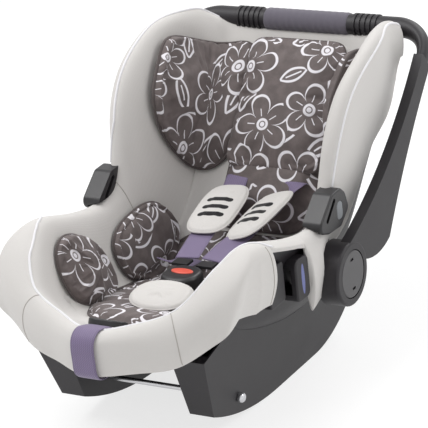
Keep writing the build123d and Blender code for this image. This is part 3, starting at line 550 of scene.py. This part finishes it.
middle_walls = [wall_profile(name) for name in SECTIONS[2:10]]
right_half = np.concatenate([HEAD_END, CROWN[None], middle_walls, FRONT])
left_half = (right_half * (-1, 1, 1))[-2:0:-1]
border_net = np.concatenate([right_half, left_half])
HALF_COUNT, RING_COUNT = len(right_half), len(border_net)
# Sections repeated past either end of the ring, and the control point on the rim's outer edge
WRAP, RIM = 5, 6
ring_net = np.concatenate([border_net[-WRAP:], border_net, border_net[:WRAP + 1]])
ring_run = chord(ring_net[:, RIM])
START, END = ring_run[WRAP], ring_run[WRAP + RING_COUNT]


def ring_place(order):
    """Distance round the ring of a control section, by its order from the head end's middle."""
    return np.interp(order, np.arange(RING_COUNT + 1), ring_run[WRAP:WRAP + RING_COUNT + 1])


# Orders of some sections round the ring
HEAD_CROWN, HIP, THIGH, KNEE, SHIN = 5, 10, 11, 12, 13
# Skirt round the ring: order, length against its section's own, flare. It is long behind the crown,
# short round the hub, a hanging flap before it, short over the bare side and long again on the leg wall
FLAP = np.array([
    (0, 1, 0), (HEAD_CROWN - 1, 1.14, 0), (HEAD_CROWN, 1.5, 0), (HEAD_CROWN + 1, 1.28, 0),
    (HEAD_CROWN + 2, 1.14, 0), (HEAD_CROWN + 3, 1.06, 0), (HIP - 0.45, 1, 0), (HIP - 0.2, 0.72, 0),
    (HIP + 0.1, 0.68, 0.3), (HIP + 0.43, 0.86, 0.8), (HIP + 0.56, 1.6, 0.9), (HIP + 0.62, 1.85, 0.9),
    (THIGH + 0.02, 2.0, 0.9), (THIGH + 0.06, 0.16, 0.5), (THIGH + 0.3, 0.12, 0), (KNEE + 0.32, 0.12, 0),
    (KNEE + 0.36, 1.28, 0.88), (KNEE + 0.46, 1.42, 0.88), (SHIN, 1.35, 0.8), (SHIN + 0.6, 1.08, 0.42),
    (HALF_COUNT - 1, 1, 0),
])
# How much of the flare each row of the skirt takes, from the rim down
FLARE_ROWS = (1.6, 1.3, 0.9)
# Turned hem: millimetres inwards at the fold and at its end, and up from the fold to the end
FOLD_IN, END_IN, END_UP = 3, 4, 7


def ring_order(run):
    """Order of the control sections at distances round the ring, from the head end on either side."""
    order = np.interp(run, ring_run[WRAP:WRAP + RING_COUNT + 1], np.arange(RING_COUNT + 1))
    return np.minimum(order, RING_COUNT - order)


def border_controls(run):
    """Control points of the border at distances round the ring, with the skirt's drop and turned hem."""
    net = np.einsum("us,skc->ukc", natural_weights(ring_run, np.ravel(run)), ring_net)
    rim, order = net[:, RIM:RIM + 1], ring_order(np.ravel(run))
    share, flare = (np.interp(order, FLAP[:, 0], FLAP[:, column]) for column in (1, 2))
    skirt = rim + (net[:, RIM + 1:] - rim) * share[:, None, None]
    skirt[..., 0] += (rim[..., 0] - skirt[..., 0]) * np.outer(flare, FLARE_ROWS)
    outward = unit(np.cross(np.gradient(rim[:, 0], axis=0), skirt[:, 2] - rim[:, 0]))
    outward *= np.sign(np.sum(outward * (rim[:, 0] - net[:, 4]), 1, keepdims=True))
    up = unit(rim[:, 0] - skirt[:, 2])
    hem = skirt[:, 2:3]
    turned = np.stack([hem[:, 0] - outward * FOLD_IN, hem[:, 0] - outward * END_IN + up * END_UP], 1)
    return np.concatenate([net[:, :RIM + 1], skirt, hem, turned], 1)


BORDER_KNOTS = 13
RING_STEPS, BORDER_STEPS = 460, 60


def border_point(run, place):
    """A point of the border at a distance round the ring and a place, 0 at the lining, 12 at the hem."""
    run = np.ravel(run)
    place = np.broadcast_to(place, run.shape)
    return np.einsum("uk,ukc->uc", soft_weights(BORDER_KNOTS, place), border_controls(run))


even_rows, bends = np.linspace(START, END, RING_STEPS, endpoint=False), FLAP[1:-1, 0]
ring_rows = np.unique(np.concatenate([even_rows, ring_place(bends), ring_place(RING_COUNT - bends)]))
border_weights = soft_weights(BORDER_KNOTS, np.linspace(0, BORDER_KNOTS - 1, BORDER_STEPS))
border_grid = np.einsum("vk,ukc->uvc", border_weights, border_controls(ring_rows))
border = grid_object("cover_border", border_grid, wrap_rows=True)
finish_piece(border, "seat", knit, ("seat_cover", "front_roll"))

FLOOR_HALF, FLOOR_SINK = 135, 1.5
floor_rows = np.linspace(run_of("crown") - 40, run_of("corner") - 30, 60)
floor_cols = np.linspace(-FLOOR_HALF, FLOOR_HALF, 40)
floor_grid = lining_point(floor_rows[:, None], floor_cols[None, :], -FLOOR_SINK)
floor = grid_object("floor_lining", floor_grid)
sheet = floor.modifiers.new("thickness", "SOLIDIFY")
sheet.thickness, sheet.offset = 0.002, -1.0
finish_piece(floor, "seat", lining)

# Radii of the piping and of a seam's thread
PIPING, THREAD = 1.9, 0.7

# White piping on the wings, from the head end to each belt guide: places across the border
WING_END, WING_ORDER = 9.05, (0, 3, 8, 9)
WING_PLACE = {"right": (6.0, 6.0, 6.0, 6.0), "left": (6.0, 4.7, 4.7, 5.6)}
wing_run = np.linspace(ring_place(0), ring_place(WING_END), 240)
for side, word in SIDES:
    wing_place = np.interp(ring_order(wing_run), WING_ORDER, WING_PLACE[word])
    wing_bead = border_point(wing_run, wing_place) * (side, 1, 1)
    finish_piece(tube(f"wing_piping_{word}", wing_bead, PIPING), "seat", bead_cloth)

# White piping over the leg walls and along the front roll's inner edge: order past the shin, place
FRONT_PIPING = np.array([
    (-0.75, 5.9), (-0.5, 4.95), (-0.3, 4.5), (-0.1, 4.2), (0.4, 3.92), (1, 3.87),
    (1.5, 3.97), (2, 4.22), (3, 4.45), (3.5, 4.15), (4, 3.95), (5, 4.05),
])
piping_order = SHIN + FRONT_PIPING[:, 0]
front_run = np.linspace(ring_place(piping_order[0]), ring_place(RING_COUNT - piping_order[0]), 260)
front_bead = border_point(front_run, np.interp(ring_order(front_run), piping_order, FRONT_PIPING[:, 1]))
finish_piece(tube("front_piping", front_bead, PIPING), "seat", bead_cloth)

# Sewn seams across the front roll, down each inner wall before the wing and by the leg wall's rear edge:
# order, distances from it round the ring, places across the border, points
SEAMS = {
    "roll_seam": (SHIN + 3.1, (8, -10), (4.4, 9.8), 60),
    "wall_seam": (HIP - 0.35, (0, 14), (4.6, 1.2), 40),
    "leg_seam": (KNEE + 0.5, (0, 2), (5.6, 9.9), 40),
}
for side, word in SIDES:
    for name, (order, way, places, count) in SEAMS.items():
        seam = border_point(ring_place(order) + np.linspace(*way, count), np.linspace(*places, count))
        made = tube(f"{name}_{word}", seam * (side, 1, 1), THREAD, 6)
        finish_piece(made, "seat", seam_thread)


# Padded insert

def plump(made, pressure, cap, growth, frames=16):
    """Swells a cushion with the cloth solver under pressure, its seam held and each point's move capped."""
    start = np.empty(len(made.data.vertices) * 3, np.float32)
    made.data.vertices.foreach_get("co", start)
    cloth = made.modifiers.new("swell", "CLOTH")
    values = cloth.settings
    values.quality, values.mass = 4, 0.25
    values.tension_stiffness, values.compression_stiffness, values.shear_stiffness = 12, 10, 6
    values.bending_stiffness = 0.6
    values.use_pressure, values.uniform_pressure_force = True, pressure
    values.shrink_min = -growth
    values.effector_weights.gravity = 0
    values.vertex_group_mass = "seam"
    cloth.point_cache.frame_start, cloth.point_cache.frame_end = 1, frames
    scene = bpy.context.scene
    for step in range(1, frames + 1):
        scene.frame_set(step)
    shaped = made.evaluated_get(bpy.context.evaluated_depsgraph_get())
    end = np.empty_like(start)
    shaped.data.vertices.foreach_get("co", end)
    made.modifiers.remove(cloth)
    scene.frame_set(1)
    way = (end - start).reshape(-1, 3)
    size = np.linalg.norm(way, axis=1, keepdims=True)
    way *= np.minimum(1, cap / np.maximum(size, 1e-9))
    made.data.vertices.foreach_set("co", (start.reshape(-1, 3) + way).ravel())
    made.data.update()
    return made


# The seam's height over the lining in millimetres, and how far from it points are held, in metres
SEAM_HEIGHT, SEAM_HOLD = 2.0, 0.006


def outline_reach(ring, round_off):
    """Distance of an outline at angles a, (|cos a|^p + |sin a|^p)^(-1/p); p may differ front and rear."""
    power = np.where(np.cos(ring) > 0, *np.broadcast_to(round_off, 2))
    return (np.abs(np.cos(ring)) ** power + np.abs(np.sin(ring)) ** power) ** (-1 / power)


def cushion(name, place, half, crown, round_off=2.6, rows=44, cols=44, uv_shift=(0.0, 0.0)):
    """A sewn cushion on a surface: place(a, b, h) gives the point at a along, b across and h above.

    The outline is the superellipse |a|^p + |b|^p = 1 in units of half, the top is crown (1 - m^4)^0.55
    and the bottom a thin flat, where m is the share of the way to the outline.
    """
    ring = np.linspace(0, 2 * np.pi, 4 * cols, endpoint=False)
    cos, sin = np.cos(ring), np.sin(ring)
    outline = outline_reach(ring, round_off)
    share = np.sin(np.linspace(0, np.pi / 2, rows // 2)) ** 0.9
    share[0] = 0
    m = np.concatenate([share, share[-2::-1]])
    top = np.concatenate([np.ones(len(share)), np.zeros(len(share) - 1)])
    a = m[:, None] * (outline * cos)[None] * half[0]
    b = m[:, None] * (outline * sin)[None] * half[1]
    swell = np.clip(1 - m ** 4, 0, 1) ** 0.55
    height = SEAM_HEIGHT + np.where(top > 0.5, swell * crown, -SEAM_HEIGHT * swell)[:, None]
    grid = place(a, b, np.broadcast_to(height, a.shape))
    uv = np.stack([b, a], -1) * MM + np.asarray(uv_shift)
    return grid_object(name, grid, uv, wrap_cols=True)


def hold_seam(made, seam_points):
    """Marks the points near the sewn outline, which the cloth solver leaves in place."""
    points = np.empty(len(made.data.vertices) * 3, np.float32)
    made.data.vertices.foreach_get("co", points)
    gap = np.linalg.norm(points.reshape(-1, 1, 3) - (seam_points * MM)[None, ::4], axis=2).min(1)
    group = made.vertex_groups.new(name="seam")
    group.add(np.nonzero(gap < SEAM_HOLD)[0].tolist(), 1.0, "REPLACE")


def seam_line(place, half, round_off, count=160):
    """The cushion's sewn outline."""
    ring = np.linspace(0, 2 * np.pi, count, endpoint=False)
    reach = outline_reach(ring, round_off)
    a, b = reach * np.cos(ring) * half[0], reach * np.sin(ring) * half[1]
    return place(a, b, np.full(count, SEAM_HEIGHT))


def sewn_cushion(name, place, half, crown, round_off, swell, uv_shift=(0.0, 0.0)):
    """A cushion swelled by pressure, cap and growth inside its held seam, and the seam's line."""
    made = cushion(name, place, half, crown, round_off, uv_shift=uv_shift)
    seam = seam_line(place, half, round_off)
    hold_seam(made, seam)
    return plump(made, *swell), seam


# Pressure, cap in metres and growth of the printed cushions and of the pale pads
PRINT_SWELL, SHOULDER_SWELL, CROTCH_SWELL = (3.0, 0.006, 0.05), (2.0, 0.0009, 0.006), (2.5, 0.0012, 0.006)


def insert_pad(name, run, across, half, lift, crown, nodes, round_off=2.6, fill=0.7,
               skew=0.0, taper=0.0, stand=0.0, welt=1.6, shift=(0, 0)):
    """A printed cushion on the lining with a welt round its seam; run and across place its middle.

    Its outer side is slid along the seat by skew per millimetre, is shorter than its inner side by taper
    either way, and stands off the lining by stand at the edge.
    """
    outward = np.sign(across)

    def place(a, b, h):
        out = b * outward
        edge = out / half[1]
        along = run + a * (1 - taper * edge) + skew * out
        return lining_point(along, across + b, lift + h + stand * np.clip(edge, 0, 1) ** 2)

    made, seam = sewn_cushion(name, place, half, crown, round_off, PRINT_SWELL, shift)
    finish_piece(made, "seat", print_cloth, nodes)
    finish_piece(tube(f"{name}_welt", seam, welt, 8, closed=True), "seat", print_edge)


CHEST = run_of("chest")
WING = {"half": (98, 108), "lift": 3, "crown": 22, "round_off": (2.6, 5.0), "skew": 0.12, "taper": 0.25,
        "stand": 10, "welt": 2.6}
HIPS = {"half": (86, 58), "lift": 2, "crown": 24, "round_off": 2.3, "stand": 6, "welt": 2.4}
THIGHS = {"half": (74, 60), "lift": 2, "crown": 22, "round_off": 2.2, "stand": 6, "welt": 2.4}
PADS = {
    "back_cushion": {"run": CHEST - 62, "across": 0, "half": (128, 80), "lift": 0.5, "crown": 15,
                     "nodes": ("back_pad",), "round_off": 6.0},
    "seat_cushion": {"run": 523, "across": 0, "half": (195, 130), "lift": 0.5, "crown": 14,
                     "nodes": ("seat_pad",), "round_off": (2.4, 6.0), "welt": 2.2},
    "head_cushion_middle": {"run": CHEST - 136, "across": 3, "half": (107, 84), "lift": 17, "crown": 17,
                            "nodes": ("head_cushion",), "round_off": 9.0},
}
# Cushions in pairs: run, across, the solid that each stands for, shape
PAIRS = {
    "head_wing": (CHEST - 118, 180, "head_lobe", WING),
    "hip_cushion": (421, 170, "hip_bolster", HIPS),
    "thigh_cushion": (613, 168, "thigh_bolster", THIGHS),
}
for stem, (run, across, node, shape) in PAIRS.items():
    for side, word in SIDES:
        place = {"run": run, "across": side * across, "nodes": (f"{node}_{word}",)}
        PADS[f"{stem}_{word}"] = {**place, **shape}
for number, (name, values) in enumerate(PADS.items()):
    insert_pad(name, shift=(0.37 * number, 0.23 * number), **values)


# Harness webbing

BELT_WIDTH, BELT_THICK = 38, 2.2


def belt(name, path, across, node, count=70, sides=36):
    """A flat belt: an oval carried along a smooth path; across is one direction or one per point."""
    line = smooth_path(path, count)
    ahead = unit(np.gradient(line, axis=0))
    side = smooth_path(path, count, np.broadcast_to(np.asarray(across, float), np.shape(path)))
    side = unit(side - ahead * np.sum(side * ahead, 1, keepdims=True))
    lift = np.cross(ahead, side)
    turn = np.linspace(0, 2 * np.pi, sides, endpoint=False)
    wide = np.sign(np.cos(turn)) * np.abs(np.cos(turn)) ** 0.35 * BELT_WIDTH / 2
    high = np.sign(np.sin(turn)) * np.abs(np.sin(turn)) ** 0.8 * BELT_THICK / 2
    grid = line[:, None] + wide[None, :, None] * side[:, None] + high[None, :, None] * lift[:, None]
    ends = np.repeat(line[[0, -1], None], sides, 1)
    grid = np.concatenate([ends[:1], grid, ends[1:]])
    along = chord(line)
    along = np.concatenate([along[:1], along, along[-1:]])
    flat = np.concatenate([[wide * 0], np.broadcast_to(wide, (count, sides)), [wide * 0]])
    uv = np.stack([np.broadcast_to(along[:, None], flat.shape), flat], -1) * MM
    made = grid_object(name, grid, uv, wrap_cols=True)
    finish_piece(made, "seat", webbing, (node,))


# The back's slope, its slots, the straps' way out, the tongue, and the slots' and pads' way to the side
BACK_UP = unit(np.array([0.0, 128, 163]))
BACK_OUT = np.array([0.0, -BACK_UP[2], BACK_UP[1]])
SLOT = np.array([0.0, 176, 204]) + BACK_UP * 14
STRAP_TOP = SLOT + BACK_OUT * 21
TONGUE = np.array([21.0, -50, 184])
SLOT_SIDE, PAD_SIDE = np.array([50.0, 0, 0]), np.array([43.3, 0, 0])
# Degrees of each strap's twist, and each pad's place to the side and down its strap
PAD_TWIST = {"left": 3, "right": 18}
PAD_SHIFT = {"left": (0, 95), "right": (8, 99)}


def strap_frame(side, word):
    """Directions of a shoulder strap below its slot: ahead, across with the strap's twist, and up."""
    ahead = unit((TONGUE - PAD_SIDE - STRAP_TOP) * (side, 1, 1))
    flat = unit(np.cross((0, 0, 1.0), ahead))
    twist = np.radians(PAD_TWIST[word])
    across = flat * np.cos(twist) + np.cross(ahead, flat) * np.sin(twist)
    return ahead, across, np.cross(ahead, across)


for side, word in SIDES:
    mirror = np.array([side, 1, 1])
    _, twisted, _ = strap_frame(side, word)
    level = np.array([1.0, 0, 0])
    top = SLOT_SIDE + STRAP_TOP
    behind = SLOT_SIDE + SLOT - BACK_OUT * 38
    neck = top + BACK_OUT * 3 - BACK_UP * 8
    middle = (neck + TONGUE) / 2 + np.array([2.0, 4, -4])
    shoulder = np.array([behind, (behind + top) / 2, top + BACK_OUT, neck, middle, TONGUE + (0, 2, 1)])
    ways = [level, level, level, twisted, twisted, level]
    belt(f"shoulder_belt_{word}", shoulder * mirror, ways, f"shoulder_strap_{word}")
    low, near = np.array([68.0, 36, 143.5]), np.array([58.0, -44, 174])
    lap = np.array([low, low * 0.55 + near * 0.45 + (0, 0, -6), near])
    belt(f"hip_belt_{word}", lap * mirror, np.array([1, 0.12, 0.1]) * mirror, f"hip_strap_{word}", 40)

crotch = [(0, -150, 92), (0, -150, 140), (0, -147, 160), (0, -139, 169), (0, -129, 170.5)]
belt("crotch_belt", crotch, (1, 0, 0), "crotch_strap", 50)
front_belt = [(0, -321, 198), (0, -338, 204), (0, -353, 206.5), (0, -366, 200), (0, -371.5, 186),
              (0, -371.5, 164), (0, -369.5, 146), (0, -361, 137), (0, -346, 134)]
belt("adjuster_belt", front_belt, (1, 0, 0), "adjuster_strap", 80)


# Harness pads

def flat_place(origin, along, across):
    """Places a pad in a plane: origin + a along + b across + h square to both."""
    along, across = unit(np.asarray(along, float)), unit(np.asarray(across, float))
    normal = np.cross(along, across)

    def place(a, b, h):
        return origin + a[..., None] * along + b[..., None] * across + h[..., None] * normal

    return place


PAD_CROWN = 9
SLOTS = [(0.013, 0.017, 0.0046), (-0.007, 0.017, 0.0046), (-0.027, 0.017, 0.0046)]
pad_knit = slotted_knit("slotted_pale_knit", shade(PALE, 1.02), SLOTS)


def harness_pad(name, place, half, round_off, swell, material, welt):
    """A pale pad in place of its solid, with a welt round its seam."""
    made, seam = sewn_cushion(f"{name}_soft", place, half, PAD_CROWN, round_off, swell)
    finish_piece(made, "seat", material, (name,))
    finish_piece(tube(f"{name}_welt", seam, welt, 8, closed=True), "seat", knit)


for side, word in SIDES:
    ahead, across, lift = strap_frame(side, word)
    slide, down = PAD_SHIFT[word]
    middle = (PAD_SIDE + STRAP_TOP) * (side, 1, 1) + (slide, 0, 0) + ahead * down + lift * 2.5
    place = flat_place(middle, -ahead, -across)
    harness_pad(f"shoulder_pad_{word}", place, (65, 36), 3.2, SHOULDER_SWELL, pad_knit, 1.5)

place = flat_place(np.array([4.0, -166, 176]), (0, 0.985, 0.17), (-1, 0, 0))
harness_pad("crotch_pad", place, (36, 48), 2.2, CROTCH_SWELL, knit, 1.2)


# Handle sleeve

HUB = np.array([0.0, 12, 163.5])
ARM_TILT, BAR_REACH = np.radians(38.1), 427
ARM = np.array([0.0, np.cos(ARM_TILT), np.sin(ARM_TILT)])
ARM_SIDE = np.array([0.0, -ARM[2], ARM[1]])
# Half length, radius at the ends, padding and rounded edge of the sleeve: core + (wall + creases + seam) round
SLEEVE_HALF, SLEEVE_CORE, SLEEVE_WALL, SLEEVE_EDGE = 73, 15.8, 1.9, 4
bar_middle = HUB + ARM * BAR_REACH
along = np.linspace(-SLEEVE_HALF, SLEEVE_HALF, 90)
turn = np.linspace(0, 2 * np.pi, 64, endpoint=False)
end_round = np.clip((SLEEVE_HALF - np.abs(along)) / SLEEVE_EDGE, 0, 1) ** 0.5
creases = 0.35 * np.sin(along[:, None] * 0.55 + 2.2 * np.sin(turn)[None]) * np.cos(turn + 0.6)[None]
seam_dip = -0.9 * np.exp(-((turn - np.pi) / 0.06) ** 2)[None]
sleeve_radius = SLEEVE_CORE + (SLEEVE_WALL + creases + seam_dip) * end_round[:, None]
spokes = np.cos(turn)[:, None] * ARM + np.sin(turn)[:, None] * ARM_SIDE
axis = bar_middle + along[:, None] * np.array([1.0, 0, 0])
sleeve = grid_object("grip_sleeve", axis[:, None] + sleeve_radius[..., None] * spokes, wrap_cols=True)
finish_piece(sleeve, "handle", sleeve_cloth, ("handle_grip",))


# Stage: pale floor, soft light and the camera

def stage_floor():
    """A wide flat floor: matt white in the light, with a white glow where it is seen as background."""
    far, glow_share = 9, 0.62
    mesh = bpy.data.meshes.new("floor_sheet")
    mesh.from_pydata([(-far, -far, 0), (far, -far, 0), (far, far, 0), (-far, far, 0)], [], [(0, 1, 2, 3)])
    sheet = bpy.data.objects.new("floor_sheet", mesh)
    bpy.context.scene.collection.objects.link(sheet)
    white = (0.93, 0.93, 0.93, 1.0)
    made = Finish("studio_floor", Base_Color=white, Roughness=0.9, Specular_IOR_Level=0.1)
    seen = made.node("LightPath", out="Is Camera Ray")
    for ray in ("Is Glossy Ray", "Is Transmission Ray"):
        seen = seen.math("MAXIMUM", made.node("LightPath", out=ray))
    glow = made.node("Emission", Strength=1.2)
    blend = made.node("MixShader", Fac=seen * glow_share, i1=Wire(made, made.shader.outputs[0]), i2=glow)
    made.tree.links.new(blend.socket, made.tree.nodes["Material Output"].inputs["Surface"])
    sheet.data.materials.append(made.material)
    sheet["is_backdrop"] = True


def lamp(name, spot, target, size, power):
    data = bpy.data.lights.new(name, "AREA")
    data.energy, data.size = power, size
    made = bpy.data.objects.new(name, data)
    made.location = spot
    bpy.context.scene.collection.objects.link(made)
    made.rotation_mode = "QUATERNION"
    made.rotation_quaternion = (Vector(spot) - Vector(target)).to_track_quat("Z", "Y")


stage_floor()
lamp("key_light", (-1.1, -0.9, 3.0), (0, 0, 0.2), 2.0, 62)
lamp("side_light", (2.6, 0.7, 2.2), (0, 0, 0.3), 1.6, 24)
lamp("back_light", (0.4, 2.4, 2.4), (0, 0, 0.3), 1.8, 30)
world = bpy.data.worlds.new("studio")
bpy.context.scene.world = world
world.use_nodes = True
sky = world.node_tree.nodes["Background"]
path = world.node_tree.nodes.new("ShaderNodeLightPath")
seen, seen_all, strength = (world.node_tree.nodes.new("ShaderNodeMath") for _ in range(3))
seen.operation = seen_all.operation = "MAXIMUM"
links = world.node_tree.links
links.new(path.outputs["Is Camera Ray"], seen.inputs[0])
links.new(path.outputs["Is Glossy Ray"], seen.inputs[1])
links.new(seen.outputs[0], seen_all.inputs[0])
links.new(path.outputs["Is Transmission Ray"], seen_all.inputs[1])
strength.operation = "MULTIPLY_ADD"
# The sky's light on the object, and what rays that see the sky itself have on top
SKY_LIGHT, SKY_SEEN = 0.48, 0.52
strength.inputs[1].default_value, strength.inputs[2].default_value = SKY_SEEN, SKY_LIGHT
links.new(seen_all.outputs[0], strength.inputs[0])
links.new(strength.outputs[0], sky.inputs["Strength"])
sky.inputs["Color"].default_value = (1, 1, 1, 1)

FOCAL_PIXELS, PHOTO_PIXELS, SENSOR = 2400, 428, 36.0
CAMERA_SPOT = (1.7408, -2.8072, 1.5311)
camera_data = bpy.data.cameras.new("photo_camera")
camera_data.sensor_width, camera_data.lens = SENSOR, FOCAL_PIXELS / PHOTO_PIXELS * SENSOR
camera_data.clip_start, camera_data.clip_end = 0.1, 60
camera = bpy.data.objects.new("photo_camera", camera_data)
bpy.context.scene.collection.objects.link(camera)
azimuth, rise, pitch = np.radians([30.0, 11.5, 11.5])
tip = np.array([[1, 0, 0], [0, np.cos(pitch), np.sin(pitch)], [0, -np.sin(pitch), np.cos(pitch)]])
view_right = tip @ (np.cos(azimuth), np.sin(azimuth), 0)
view_up = tip @ (-np.sin(azimuth) * np.sin(rise), np.cos(azimuth) * np.sin(rise), np.cos(rise))
view_back = tip @ (np.sin(azimuth) * np.cos(rise), -np.cos(azimuth) * np.cos(rise), np.sin(rise))
pose = Matrix.Identity(4)
for column, axis in enumerate((view_right, view_up, view_back, CAMERA_SPOT)):
    for row in range(3):
        pose[row][column] = axis[row]
camera.matrix_world = pose
bpy.context.scene.camera = camera
bpy.context.scene.view_settings.view_transform = "Standard"

low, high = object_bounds()
